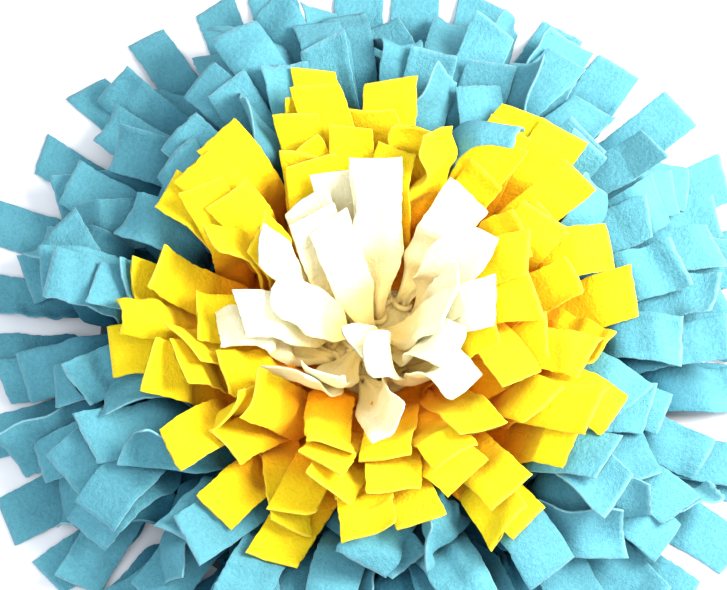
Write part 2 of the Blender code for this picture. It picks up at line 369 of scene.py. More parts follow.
def foot_ring(tail, thicker, wider):
    """The four corners inside the bed of knots"""
    foot = Vector((tail.root.x, tail.root.y, BED_TOP - ROOT_SINK))
    flat = Quaternion((0, 0, 1), tail.heading)
    x, y = NECK_DEPTH / 2 + thicker, NECK_WIDTH / 2 + wider
    return [foot + flat @ Vector(c) for c in ((x, -y, 0), (x, y, 0), (-x, y, 0), (-x, -y, 0))]


def ring(tail, stop, thicker, wider):
    """The four corners of the tail at a stop: its place, its turn and how far along it is"""
    point, turn, along = stop
    opened = spread(tail, along)
    y = (NECK_WIDTH + (tail.width - NECK_WIDTH) * opened) / 2 + wider
    z = (NECK_DEPTH + (FLEECE - NECK_DEPTH) * opened) / 2 + thicker
    skew = tail.skew if along > tail.length - MM else 0.0
    corners = ((-skew, -y, -z), (skew, y, -z), (skew, y, z), (-skew, -y, z))
    return [point + turn @ Vector(c) for c in corners]


def ring_faces(count):
    """Triangles of a tube of four-cornered rings, closed at both ends, alike above and below"""
    faces = [(3, 2, 1), (3, 1, 0)]
    for a in range(0, 4 * (count - 1), 4):
        b = a + 4
        faces += [(a, a + 1, b + 1), (a, b + 1, b)]
        faces += [(a + 1, a + 2, b + 2), (a + 1, b + 2, b + 1)]
        faces += [(a + 2, a + 3, b + 2), (a + 3, b + 3, b + 2)]
        faces += [(a + 3, a, b), (a + 3, b, b + 3)]
    last = 4 * (count - 1)
    faces += [(last, last + 1, last + 2), (last, last + 2, last + 3)]
    return faces


def ribbon(tail, thicker=0.0, wider=0.0):
    """Corners and faces of the tail as a four-sided solid, from inside its bed of knots"""
    points = foot_ring(tail, thicker, wider)
    for stop in tail.stops:
        points += ring(tail, stop, thicker, wider)
    return points, ring_faces(len(tail.stops) + 1)


def box_of(points):
    """The least and the most of the points on each axis"""
    low = [min(p[i] for p in points) for i in range(3)]
    high = [max(p[i] for p in points) for i in range(3)]
    return low, high


def boxes_meet(a, b):
    return all(a[0][i] < b[1][i] and b[0][i] < a[1][i] for i in range(3))


class Pile:
    """The tails laid so far, asked whether a piece of one more would touch any of them"""

    def __init__(self):
        self.laid = []
        self.tests = 0

    def leaves_room(self, points):
        self.tests += 1
        for p in points:
            over_bed = math.hypot(p.x, p.y) < BASE_RADIUS + RIM_ROOM
            if p.z < (BED_TOP if over_bed else GAP):
                return False
        return self.meets_none(points)

    def meets_none(self, points):
        box = box_of(points)
        near = [tree for tree, other in self.laid if boxes_meet(box, other)]
        if not near:
            return True
        own = BVHTree.FromPolygons(points, ring_faces(len(points) // 4))
        return not any(own.overlap(tree) for tree in near)

    def add(self, tail):
        points, faces = ribbon(tail)
        self.laid.append((BVHTree.FromPolygons(points, faces), box_of(points)))


def drop_at(out, height):
    """The share of the drop over the rim that a tail has behind it this far out, and its pitch there"""
    t = min(1.0, max(0.0, (out - FLOOR_LEVEL) / FLOOR_DROP))
    return t, math.atan(height * math.pi / (2 * FLOOR_DROP) * math.sin(math.pi * t))


def floor_stops(tail):
    """The stops of a tail that drops over the rim and rests level on the floor"""
    high = BED_TOP + NECK_DEPTH / 2 + GAP
    low = FLEECE / 2
    flat = Quaternion((0, 0, 1), tail.heading)
    out, along, stops = 0.0, 0.0, []
    past_drop = FLOOR_LEVEL + FLOOR_DROP + PAST_DROP
    for mark in (*marks(tail)[:2], past_drop, STRETCHES[2][0] * tail.length, tail.length):
        while along < mark:
            _, pitch = drop_at(out, high - low)
            out += FLOOR_STEP * math.cos(pitch)
            along += FLOOR_STEP
        t, pitch = drop_at(out, high - low)
        place = Vector((tail.root.x, tail.root.y, 0)) + flat @ Vector((out, 0, 0))
        place.z = low + (high - low) * (1 + math.cos(math.pi * t)) / 2
        stops.append((place, flat @ Quaternion((0, 1, 0), pitch), mark))
    return tuple(stops)


def bends(most, curl):
    """The bends to try at one stop, the furthest over first"""
    steps = int((most + curl + MOST_UP) / BEND_STEP)
    return [most + curl - k * BEND_STEP for k in range(steps + 1)]


def drape(pile, tail, stops, turn):
    """The stops of the tail laid over the pile stretch by stretch, or None where it has no room"""
    level = len(stops) - 1
    if level == len(STRETCHES):
        return stops
    ends = marks(tail)
    length = ends[level + 1] - ends[level]
    curl = tail.curl if level > 1 else 0.0
    spin = Quaternion((1, 0, 0), tail.twist / len(STRETCHES))
    point, _, along = stops[-1]
    for bend in bends(STRETCHES[level][1] * DEG, curl):
        after = turn @ Quaternion((0, 1, 0), bend) @ spin
        ahead = after @ Vector((1, 0, 0))
        if ahead.z < STEEPEST_FALL and curl <= 0:
            continue
        if pile.tests > MOST_TESTS:
            return None
        joint = (point, turn.slerp(after, 0.5), along)
        end = (point + ahead * length, after, ends[level + 1])
        before = ring(tail, stops[-2], STAND_OFF, SIDE_OFF) if level else foot_ring(tail, 0, 0)
        points = [*before, *ring(tail, joint, STAND_OFF, SIDE_OFF), *ring(tail, end, STAND_OFF, SIDE_OFF)]
        room = pile.leaves_room(points) if level else pile.leaves_room(points[4:]) and pile.meets_none(points)
        if room:
            found = drape(pile, tail, [*stops[:-1], joint, end], after)
            if found:
                return found
    return None


def lay(pile, tail):
    """True once the tail has its stops and touches nothing"""
    if tail.on_floor:
        tail.stops = floor_stops(tail)
        points, _ = ribbon(tail, STAND_OFF, SIDE_OFF)
        return pile.meets_none(points)
    turn = Quaternion((0, 0, 1), tail.heading) @ Quaternion((0, 1, 0), -tail.rise)
    turn = turn @ Quaternion((1, 0, 0), tail.roll)
    neck = tail.root + turn @ Vector((NECK_END, 0, 0))
    pile.tests = 0
    found = drape(pile, tail, [(neck, turn, NECK_END)], turn)
    tail.stops = tuple(found or ())
    return bool(found)


def new_tail(rng, row, on_floor):
    """A tail of this row as it leaves its knot, heading straight out, before it's turned and laid over"""
    return Tail(
        row=row,
        root=Vector(),
        heading=0.0,
        rise=rng.uniform(*RISE) * DEG,
        roll=0.0,
        twist=0.0,
        curl=0.0,
        skew=rng.uniform(-MOST_SKEW, MOST_SKEW),
        width=STRIP_WIDTH * rng.uniform(NARROWEST, WIDEST),
        length=TAIL * rng.uniform(TAIL_LEAST, TAIL_MOST),
        opens=SPREAD_END * (INNER_OPENS if row >= INNER_ROWS else 1.0),
        on_floor=on_floor,
    )


def habit(rng, layer):
    """How one tail of this layer lies by nature: heading off the radius, roll, twist and curl in degrees"""
    ways = LAYERS[layer]
    aside, roll, twist = (rng.uniform(-1, 1) * ways[way] for way in ("heading", "roll", "twist"))
    kind = rng.uniform(0, 10)
    if kind < ways["twisted"]:
        return aside, roll, math.copysign(rng.uniform(*TWISTED), twist), 0.0
    if kind < ways["twisted"] + ways["curled"]:
        return aside, roll, twist, rng.uniform(*CURLED_OVER)
    return aside, roll, twist, 0.0


def shown_tail(row, azimuth, reach):
    """The tail of SHOWN that stands in this row within this reach of the azimuth"""
    for shown in SHOWN:
        away = (shown[1] * DEG - azimuth + math.pi) % (2 * math.pi) - math.pi
        if shown[0] == row and abs(away) < reach:
            return shown
    return None


def lay_tails():
    """All the tails, the outer rows first, and in each row those below before those above"""
    rng = random.Random(SEED)
    pile = Pile()
    tails = []
    for row, (_, radius, count, zigzag) in enumerate(ROWS):
        inner = row >= INNER_ROWS
        if row == INNER_ROWS:
            rng = random.Random(INNER_SEED)
        phase = 0 if inner else rng.random()
        pitch = 2 * math.pi / count
        for k in [*range(0, count, 2), *range(1, count, 2)]:
            upper = k % 2 == 1
            layer = "upper" if upper else "lower" if row else "floor"
            if inner:
                layer = "inner"
            reach = pitch / 2 if inner else pitch
            shown = shown_tail(row, (k + phase) * pitch, reach) if upper or inner else None
            aside, roll, twist, curl = habit(rng, layer)
            model = new_tail(rng, row, row == 0 and not upper)
            out = (radius + (-zigzag if upper else zigzag)) * MM
            best, lowest = None, 1.0
            for attempt in range(TRIES):
                azimuth = (k + phase + rng.uniform(-SIDESTEP, SIDESTEP)) * pitch
                stray = rng.uniform(-1, 1) * LAYERS[layer]["stray"]
                tail = replace(
                    model,
                    root=Vector((out * math.cos(azimuth), out * math.sin(azimuth), BED_TOP)),
                    heading=azimuth + (aside + stray) * DEG,
                    roll=(roll + rng.uniform(-1, 1) * LAYERS[layer]["stray"]) * DEG,
                    twist=twist * rng.uniform(*TWIST_SHARE) * DEG,
                    curl=curl * DEG,
                )
                if shown and attempt < SHOWN_TRIES:
                    _, _, heading, own_roll, own_twist, own_curl, length = shown
                    tail.heading = (heading + stray / 2) * DEG
                    tail.roll, tail.twist, tail.curl = own_roll * DEG, own_twist * DEG, own_curl * DEG
                    tail.length = length * MM
                if not lay(pile, tail):
                    continue
                height = sum(point.z for point, _, _ in tail.stops)
                if height < lowest:
                    best, lowest = tail, height
                if shown and best and attempt == SHOWN_TRIES - 1:
                    break
            if best:
                pile.add(best)
                tails.append(best)
    return tails


@functools.cache
def all_tails():
    """The tails as they're laid, worked out once"""
    return tuple(lay_tails())


class Look:
    """The small unevenness of one cut strip, drawn at random for a tail"""

    def __init__(self, rng, tail):
        self.tail = tail
        self.cup = rng.triangular(*CUP) * MM
        self.pleats = rng.choice(PLEATS)
        self.pleat_shift = rng.uniform(-1, 1)
        self.fold = rng.uniform(*FOLD) * MM
        self.fold_reach = rng.uniform(*FOLD_REACH) * MM
        self.ripple = rng.uniform(*RIPPLE) * MM
        self.ripple_length = rng.uniform(*RIPPLE_LENGTH) * MM
        self.ripple_shift = rng.uniform(0, 2 * math.pi)
        self.corners = (rng.uniform(*CORNER) * MM, rng.uniform(*CORNER) * MM)
        self.edge_rolls = (rng.uniform(*EDGE_ROLL) * MM, rng.uniform(*EDGE_ROLL) * MM)
        self.crease = rng.uniform(*CREASE)
        self.crease_depth = rng.uniform(*CREASE_DEPTH) * MM
        self.fray = rng.randrange(FRAY_SEEDS)
        self.edge_waves = [(rng.uniform(0, 2 * math.pi), rng.uniform(0, 2 * math.pi)) for _ in range(2)]
        self.end_waves = [rng.uniform(0, 2 * math.pi) for _ in range(2)]
        self.tone = rng.random()
        self.shift = (rng.random(), rng.random())
        strong = rng.random() < CURLED_SHARE
        self.curl = rng.choice(CURL_SIDES) * (rng.uniform(*CURLED) if strong else rng.uniform(*FLAT))


def smooth_stops(tail, slack):
    """Points, turns and lengths at even rows along the tail, on a smooth curve through its stops"""
    foot = Vector((tail.root.x, tail.root.y, BED_TOP - ROOT_SINK))
    upright = Quaternion((0, 0, 1), tail.heading) @ Quaternion((0, 1, 0), -math.pi / 2)
    stops = [(foot, upright, 0.0), *tail.stops]
    points, turns, lengths = [], [], []
    forward = Vector((1, 0, 0))
    for (p0, q0, s0), (p1, q1, s1) in zip(stops, stops[1:]):
        reach = (p1 - p0).length
        m0, m1 = q0 @ forward * reach * slack, q1 @ forward * reach * slack
        rows = max(2, round((s1 - s0) / ROW_LENGTH))
        for k in range(rows):
            t = k / rows
            a, b, c, d = 2 * t**3 - 3 * t**2 + 1, t**3 - 2 * t**2 + t, 3 * t**2 - 2 * t**3, t**3 - t**2
            along = (6 * t**2 - 6 * t) * (p0 - p1) + (3 * t**2 - 4 * t + 1) * m0 + (3 * t**2 - 2 * t) * m1
            turn = q0.slerp(q1, t)
            turn = (turn @ forward).rotation_difference(along) @ turn
            points.append(a * p0 + b * m0 + c * p1 + d * m1)
            turns.append(turn)
            lengths.append(s0 + t * (s1 - s0))
    points.append(stops[-1][0])
    turns.append(stops[-1][1])
    lengths.append(stops[-1][2])
    return points, turns, lengths


def ease(x):
    """0 below 0, 1 above 1, and a smooth rise between"""
    x = np.clip(x, 0, 1)
    return x * x * (3 - 2 * x)


def bowed(across, up, curl):
    """Places across and above a strip that curls about its own length"""
    angle = across * curl
    rise = across * angle / 2 * np.sinc(angle / 2 / math.pi) ** 2
    return across * np.sinc(angle / math.pi) - up * np.sin(angle), rise + up * np.cos(angle)


def side_places(look, s, share, opened, half):
    """How far aside each point of each row lies, with uneven and frayed edges"""
    frays = np.random.default_rng(look.fray).normal(0, FRAY, (len(s), 2))
    edges = []
    for shifts in look.edge_waves:
        waves = zip(EDGE_WAVES, shifts)
        wave = sum(np.sin(s / length + shift) * height * MM for (length, height), shift in waves)
        edges.append((wave + frays[:, len(edges), None]) * opened)
    return share * (half - EDGE_INSET) + np.where(share < 0, edges[0] * -share, edges[1] * share)


def relief(look, s, share, opened, far, share_of_look):
    """How far each point stands off the strip's middle: pleats, cup, ripple, edges, crease and corners"""
    gather = (1 - opened) * (NECK_DEPTH - FLEECE) / 2
    fading = look.fold * np.exp(-np.maximum(s - SPREAD_END / 2, 0) / look.fold_reach) * opened
    pleat = np.cos(math.pi * look.pleats * (share + look.pleat_shift))
    pleat = np.sign(pleat) * np.abs(pleat) ** PLEAT_SHARPNESS
    lift = (gather + fading) * pleat + look.cup * opened * (share**2 - CUP_LEVEL)
    lift += look.ripple * opened * np.sin(2 * math.pi * s / look.ripple_length + look.ripple_shift + share)
    rolls = np.where(share < 0, look.edge_rolls[0], look.edge_rolls[1])
    lift += rolls * opened * share**EDGE_ROLL_POWER
    crease = CREASE_LEVEL - np.minimum(np.abs(share - look.crease), CREASE_REACH)
    lift += look.crease_depth * opened * (1 - far) * crease
    low, high = look.corners
    lift += far**2 * share**2 * np.where(share < 0, low, high)
    return lift * share_of_look + (1 - share_of_look) * gather * pleat


def cross_sections(look, side, lift, ahead, curl):
    """The closed loop of points round each row, in the row's own axes"""
    thick = np.full((len(side), 1), FLEECE_SHOWN / 2)
    thick[-1] *= END_THINNED
    top = np.stack([ahead, *bowed(side, lift + thick, curl)], axis=-1)
    bottom = np.stack([ahead, *bowed(side, lift - thick, curl)], axis=-1)[:, ::-1]
    rounds = []
    for column, sign in ((ACROSS - 1, 1), (0, -1)):
        for turn in EDGE_TURNS if sign < 0 else [-t for t in EDGE_TURNS]:
            y = side[:, column : column + 1] + sign * np.cos(turn) * thick * EDGE_BULGE
            z = lift[:, column : column + 1] + np.sin(turn) * thick
            rounds.append(np.stack([ahead[:, column : column + 1], *bowed(y, z, curl)], axis=-1))
    right = np.concatenate(rounds[: len(EDGE_TURNS)], axis=1)
    left = np.concatenate(rounds[len(EDGE_TURNS) :], axis=1)
    return np.concatenate([top, right, bottom, left], axis=1)


def tube_quads(rows, around):
    """The four-sided faces between rows of points, each row a closed loop"""
    k = np.arange(rows - 1)[:, None] * around
    c = np.arange(around)[None, :]
    d = (c + 1) % around
    return np.stack([k + c, k + around + c, k + around + d, k + d], axis=-1).reshape(-1, 4)


def tail_mesh(look, share_of_look, raised, slack):
    """One tail's points, faces, UVs and traits; then its side faces, and where its free part starts"""
    tail = look.tail
    points, turns, lengths = smooth_stops(tail, slack)
    s = np.array(lengths)[:, None]
    share = np.linspace(-1, 1, ACROSS)[None, :]
    opened = ease((s - NECK_END) / (tail.opens - NECK_END))
    half = (NECK_WIDTH + (tail.width - NECK_WIDTH) * opened) / 2
    far = ease((s / tail.length - FAR_FROM) / FAR_REACH)
    side = side_places(look, s, share, opened, half)
    lift = relief(look, s, share, opened, far, share_of_look)
    curl = look.curl * opened * share_of_look
    if tail.on_floor:
        lift = np.maximum(lift * (1 - far), 0)
        curl = np.maximum(curl * (1 - far), 0)
    else:
        mean_rise = half**2 * curl / 6
        lift = lift - mean_rise
    end_waves = zip(END_WAVES, look.end_waves)
    end_wave = sum(height * np.sin(waves * share + shift) for (waves, height), shift in end_waves)
    start = STRETCHES[2][0] * tail.length
    ahead = np.clip((s - start) / (tail.length - start), 0, 1) * (tail.skew * share + end_wave)
    ahead[-1] += END_AHEAD
    loops = cross_sections(look, side, lift, ahead, curl)
    turned = np.array([[list(row) for row in q.to_matrix()] for q in turns])
    placed = np.einsum("kij,knj->kni", turned, loops) + np.array([list(p) for p in points])[:, None]
    placed[:, :, 2] += raised * opened
    placed[:, :, 2] += np.maximum(FLOOR_GAP - placed[:, :, 2].min(axis=1), 0)[:, None]

    rows, around = placed.shape[:2]
    quads = tube_quads(rows, around)
    faces = quads.tolist()
    faces.append(list(range(around)))
    faces.append(list(range((rows - 1) * around, rows * around))[::-1])
    edge = [PAST_EDGE] * len(EDGE_TURNS)
    across = np.concatenate([share[0], edge, share[0][::-1], [-place for place in edge]])
    u = (across[None, :] * STRIP_WIDTH / 2) / TILE + look.shift[0] + np.zeros((rows, 1))
    v = s / TILE + look.shift[1] + np.zeros((1, around))
    uv = np.stack([u, v], axis=-1).reshape(-1, 2)
    # Painted shade: 0 at the knots, rising to 1 where the tail is out of the painted shade that stands in for
    # the tails shading each other
    airy = ease((s - PAINTED_SHADE_FADE_FROM) / (PAINTED_SHADE_FADE_TO - PAINTED_SHADE_FADE_FROM)) + np.zeros((1, around))
    # Painted highlight: 1 on the rounded cut edges, as far as the strip has opened, and on the cut end
    cut = np.where(np.abs(across) > 1, opened, 0)
    cut[-1] = 1
    traits = np.stack([airy, cut], axis=-1).reshape(-1, 2)
    starts = [int(np.searchsorted(s[:, 0], reach)) * around for reach in (CROWDED, GATHERED)]
    return (placed.reshape(-1, 3), faces, uv, traits), quads, starts


def knot_mesh(look):
    """A fat band of fleece wrapped round the foot of a tail"""
    tail = look.tail
    centre = np.array([tail.root.x, tail.root.y, BED_TOP + KNOT_HEIGHT])
    turned = np.array(Quaternion((0, 0, 1), tail.heading).to_matrix())
    points = []
    for j in range(KNOT_ROUND):
        a = 2 * math.pi * j / KNOT_ROUND
        for i in range(KNOT_SECTION):
            b = 2 * math.pi * i / KNOT_SECTION
            out = KNOT_THICK * math.cos(b)
            x = (NECK_DEPTH / 2 + KNOT_CLEAR[0] + out) * math.cos(a)
            y = (NECK_WIDTH / 2 + KNOT_CLEAR[1] + out) * math.sin(a)
            z = KNOT_THICK * math.sin(b) + KNOT_SLANT * math.sin(a + look.pleat_shift * KNOT_SHIFT)
            points.append(turned @ np.array([x, y, z]) + centre)
    faces = []
    for j in range(KNOT_ROUND):
        own, after = j * KNOT_SECTION, (j + 1) % KNOT_ROUND * KNOT_SECTION
        for i in range(KNOT_SECTION):
            m = (i + 1) % KNOT_SECTION
            faces.append([own + i, after + i, after + m, own + m])
    points = np.array(points)
    # No traits: the knot takes the full painted shade, and no painted highlight
    return points, faces, points[:, :2] / TILE + look.shift[0], np.zeros((len(points), 2))


def shell(points, quads, start):
    """The search tree and the box of a tail's mesh from this point on"""
    own = points[start:]
    tree = BVHTree.FromPolygons(own.tolist(), (quads[quads.min(axis=1) >= start] - start).tolist())
    return tree, own.min(axis=0), own.max(axis=0)


@functools.cache
def dressed():
    """Every tail with its look and its mesh, as uneven as it can be and still clear the others"""
    draws = {name: random.Random(LOOK_SEED + number) for number, (name, _, _) in enumerate(BEDS)}
    plain = []
    for tail in all_tails():
        points, sides = ribbon(tail)
        plain.append((BVHTree.FromPolygons(points, sides), *map(np.array, box_of(points))))
    laid = []
    results = []
    for number, tail in enumerate(all_tails()):
        others = laid + plain[number + 1 :]
        looks = [Look(draws[ROWS[tail.row][0]], tail) for _ in range(LOOKS)]
        best = None
        for way, look in itertools.product(WAYS, looks):
            mesh, quads, starts = tail_mesh(look, *way)
            tree, low, high = shell(mesh[0], quads, starts[0])
            hits = sum(
                len(tree.overlap(other))
                for other, other_low, other_high in others
                if (low < other_high).all() and (other_low < high).all()
            )
            if best is None or hits < best[0]:
                best = hits, (mesh[0], quads, starts[1]), (tail, look, mesh)
            if not hits:
                break
        laid.append(shell(*best[1]))
        results.append(best[2])
    return results


def bed_mesh(inner, outer):
    """The lumpy bed of knotted fleece that the tails rise from, closed below"""
    low = BASE_THICK + GAP
    count = max(2, round((outer - inner) / BED_ACROSS))
    radii = np.linspace(inner, outer, count + 1)
    angles = np.linspace(0, 2 * math.pi, BED_ROUND, endpoint=False)
    r, a = np.meshgrid(radii, angles, indexing="ij")
    coarse = np.sin(r / BED_WAVES[0]) * np.sin(a * BED_LUMPS[0])
    fine = np.sin(a * BED_LUMPS[1] + r / BED_WAVES[1])
    lump = coarse * 0.5 + fine * 0.5
    top = np.stack([r * np.cos(a), r * np.sin(a), BED_TOP + BED_LUMP * (lump - 1)], axis=-1)
    under = np.stack([r * np.cos(a), r * np.sin(a), np.full_like(r, low)], axis=-1)[::-1]
    rings = np.concatenate([top, under], axis=0)
    rows = len(rings)
    faces = []
    for j in range(rows):
        for i in range(BED_ROUND):
            m = (i + 1) % BED_ROUND
            n = (j + 1) % rows
            faces.append([j * BED_ROUND + i, n * BED_ROUND + i, n * BED_ROUND + m, j * BED_ROUND + m])
    points = rings.reshape(-1, 3)
    # No traits: the bed takes the full painted shade, and no painted highlight
    return points, faces, points[:, :2] / TILE, np.zeros((len(points), 2))


def joined(parts):
    """One set of points, faces, UVs, traits and tones from many"""
    points, faces, uvs, traits, tones = [], [], [], [], []
    start = 0
    for own_points, own_faces, own_uvs, own_traits, tone in parts:
        points.append(own_points)
        faces += [[start + i for i in face] for face in own_faces]
        uvs.append(own_uvs)
        traits.append(own_traits)
        tones.append(np.full(len(own_points), tone))
        start += len(own_points)
    return np.concatenate(points), faces, np.concatenate(uvs), np.concatenate(traits), np.concatenate(tones)


def add_piece(name, points, faces, uvs, traits, tones):
    """A smooth mesh at the origin, with its UV map and three attributes: its strip's tone, how far a point is
    out of the painted shade near the knots, and how much painted highlight it takes on a cut edge"""
    mesh = bpy.data.meshes.new(name)
    mesh.from_pydata(points.tolist(), [], faces)
    mesh.update()
    corners = np.empty(len(mesh.loops), dtype=np.int32)
    mesh.loops.foreach_get("vertex_index", corners)
    uv_map = mesh.uv_layers.new(name="UVMap")
    uv_map.data.foreach_set("uv", uvs[corners].astype(np.float32).ravel())
    for title, values in (("tone", tones), ("airy", traits[:, 0]), ("cut", traits[:, 1])):
        attribute = mesh.attributes.new(title, "FLOAT", "POINT")
        attribute.data.foreach_set("value", values.astype(np.float32))
    mesh.polygons.foreach_set("use_smooth", [True] * len(mesh.polygons))
    obj = bpy.data.objects.new(name, mesh)
    bpy.context.scene.collection.objects.link(obj)
    return obj


class Sum:
    """A node's socket that Python's own signs work on: each sign adds a Math node"""

    def __init__(self, tree, socket):
        self.tree = tree
        self.socket = socket

    def math(self, operation, *others):
        node = self.tree.nodes.new("ShaderNodeMath")
        node.operation = operation
        for slot, value in zip(node.inputs, (self, *others)):
            if isinstance(value, Sum):
                self.tree.links.new(value.socket, slot)
            else:
                slot.default_value = value
        return Sum(self.tree, node.outputs[0])

    def __add__(self, other):
        return self.math("ADD", other)

    def __sub__(self, other):
        return self.math("SUBTRACT", other)

    def __mul__(self, other):
        return self.math("MULTIPLY", other)

    def __rsub__(self, other):
        return self.math("MULTIPLY", -1.0).math("ADD", other)

    __radd__ = __add__
    __rmul__ = __mul__

    def clamped(self, low=0.0, high=1.0):
        return self.math("MAXIMUM", low).math("MINIMUM", high)


class Finish:
    """A material being made: its Principled shader and the nodes that feed it"""

    def __init__(self, name, **constants):
        self.material = bpy.data.materials.new(name)
        self.material.use_nodes = True
        self.tree = self.material.node_tree
        self.shader = self.tree.nodes["Principled BSDF"]
        for socket, value in constants.items():
            self.shader.inputs[socket.replace("_", " ")].default_value = value

    def node(self, kind, settings=None, output=0, **values):
        """Any node: its settings first, then the values or links of its sockets, by name or number"""
        made = self.tree.nodes.new("ShaderNode" + kind)
        for key, value in (settings or {}).items():
            setattr(made, key, value)
        for key, value in values.items():
            slot = made.inputs[int(key[1:]) if key[1:].isdigit() else key.replace("_", " ")]
            if isinstance(value, Sum):
                self.tree.links.new(value.socket, slot)
            else:
                slot.default_value = value
        return Sum(self.tree, made.outputs[output])

    def blend(self, share, first, second, kind="MIX"):
        """A mix of two colours, each a tuple or a socket"""
        made = self.tree.nodes.new("ShaderNodeMix")
        made.data_type = "RGBA"
        made.blend_type = kind
        for slot, value in zip((made.inputs[0], made.inputs[6], made.inputs[7]), (share, first, second)):
            if isinstance(value, Sum):
                self.tree.links.new(value.socket, slot)
            else:
                slot.default_value = value if isinstance(value, float) else (*value[:3], 1.0)
        return Sum(self.tree, made.outputs[2])

    def feed(self, socket, value):
        """Link a value to one of the shader's sockets"""
        self.tree.links.new(value.socket, self.shader.inputs[socket])

    def bump(self, height, strength, distance):
        """Relief of the surface"""
        self.feed("Normal", self.node("Bump", Height=height, Strength=strength, Distance=distance))


def fleece(name, shade_name, settings):
    """Brushed fleece: a fine nap with short fibres, small pills, and a tone of its own for each strip; with
    painted shade near the knots and a painted highlight on the cut edges
    """
    colour = getattr(settings, shade_name)
    nap_dark, edge, painted_shade_colour = NAPS_AND_PAINTED_LIGHT[shade_name]
    dark = [c * nap_dark for c in colour]
    light = [min(1.0, c * settings.nap_light + LEAST_LIGHT) for c in colour]
    edge_highlight_colour = [c * (1 - EDGE_HIGHLIGHT_WHITE) + EDGE_HIGHLIGHT_WHITE for c in light]
    finish = Finish(
        name,
        Sheen_Weight=settings.sheen,
        Sheen_Roughness=0.45,
        Sheen_Tint=(*[1 - SHEEN_COLOUR + SHEEN_COLOUR * c for c in colour], 1.0),
        Specular_IOR_Level=0.12,
    )
    place = finish.node("UVMap", {"uv_map": "UVMap"})
    tone = finish.node("Attribute", {"attribute_name": "tone"}, output=2)
    noises = [
        finish.node("TexNoise", Vector=place, Scale=scale, Detail=detail, Roughness=roughness)
        for scale, detail, roughness, _, _ in FLEECE_NOISES
    ]
    brightness, height = 0.5, 0.0
    for noise, (_, _, _, in_shade, in_relief) in zip(noises, FLEECE_NOISES):
        brightness = brightness + (noise - 0.5) * in_shade
        height = height + noise * in_relief
    # Painted highlight: the cut edges and the cut end are made paler, as where the fleece's thickness catches
    # the light
    cut = finish.node("Attribute", {"attribute_name": "cut"}, output=2)
    shade = finish.blend(cut * cut * edge, finish.blend(brightness.clamped(), dark, light), edge_highlight_colour)
    toned = finish.blend(tone, [1 - settings.strip_change] * 3, (1.0, 1.0, 1.0))
    # Painted shade: near the knots the colour is darkened and tinted, as in the shade the tails cast on each
    # other, fading out along each tail
    airy = finish.node("Attribute", {"attribute_name": "airy"}, output=2)
    near = finish.blend(airy, painted_shade_colour, (1.0, 1.0, 1.0))
    shade = finish.blend(1.0, shade, toned, "MULTIPLY")
    finish.feed("Base Color", finish.blend(1.0, shade, near, "MULTIPLY"))
    pills = noises[1]
    finish.feed("Roughness", (0.86 + (pills - 0.5) * 0.16).clamped(0.6, 1.0))
    finish.bump(height, settings.nap_strength, FLEECE_RELIEF)
    return finish.material


def rubber():
    """Matt dark rubber with a fine grain and some dust"""
    finish = Finish("base_mat_rubber", Specular_IOR_Level=0.35)
    place = finish.node("TexCoord", output=3)
    grain = finish.node("TexNoise", Vector=place, Scale=900.0, Detail=3.0, Roughness=0.6)
    dust = finish.node("TexNoise", Vector=place, Scale=25.0, Detail=4.0, Roughness=0.6)
    finish.feed("Base Color", finish.blend((dust * 1.4 - 0.2).clamped(), RUBBER_DARK, RUBBER_LIGHT))
    finish.feed("Roughness", (0.62 + grain * 0.2).clamped())
    finish.bump(grain, 0.4, RUBBER_RELIEF)
    return finish.material


class FleeceSettings(bpy.types.PropertyGroup):
    """Colours and nap of the fleece"""

    blue: bpy.props.FloatVectorProperty(
        name="Blue", description="Fleece of the outer rings", subtype="COLOR", default=(0.098, 0.345, 0.435)
    )
    yellow: bpy.props.FloatVectorProperty(
        name="Yellow", description="Fleece of the middle rings", subtype="COLOR", default=(1.0, 0.66, 0.002)
    )
    cream: bpy.props.FloatVectorProperty(
        name="Cream", description="Fleece of the centre", subtype="COLOR", default=(1.0, 0.93, 0.64)
    )
    nap_light: bpy.props.FloatProperty(
        name="Light nap", description="Fibre tips against the fleece", default=1.22
    )
    nap_strength: bpy.props.FloatProperty(name="Nap depth", description="Relief of the nap", default=1.0)
    sheen: bpy.props.FloatProperty(name="Sheen", description="Soft light on the fibre tips", default=0.16)
    strip_change: bpy.props.FloatProperty(
        name="Strip change", description="Darkest strip's loss of light", default=0.10
    )


class StageSettings(bpy.types.PropertyGroup):
    """Camera and lights"""

    height: bpy.props.FloatProperty(
        name="Camera angle", description="Above the floor", subtype="ANGLE", default=70 * DEG
    )
    distance: bpy.props.FloatProperty(
        name="Camera distance", description="From the pile", unit="LENGTH", default=1.1
    )
    frame_width: bpy.props.FloatProperty(
        name="Framed width", description="Width seen at the pile", unit="LENGTH", default=0.395
    )
    key: bpy.props.FloatProperty(name="Key light", description="Watts", default=18.0)
    fill: bpy.props.FloatProperty(name="Fill light", description="Watts", default=15.0)
    sky: bpy.props.FloatProperty(name="Room light", description="Strength of the surroundings", default=0.9)


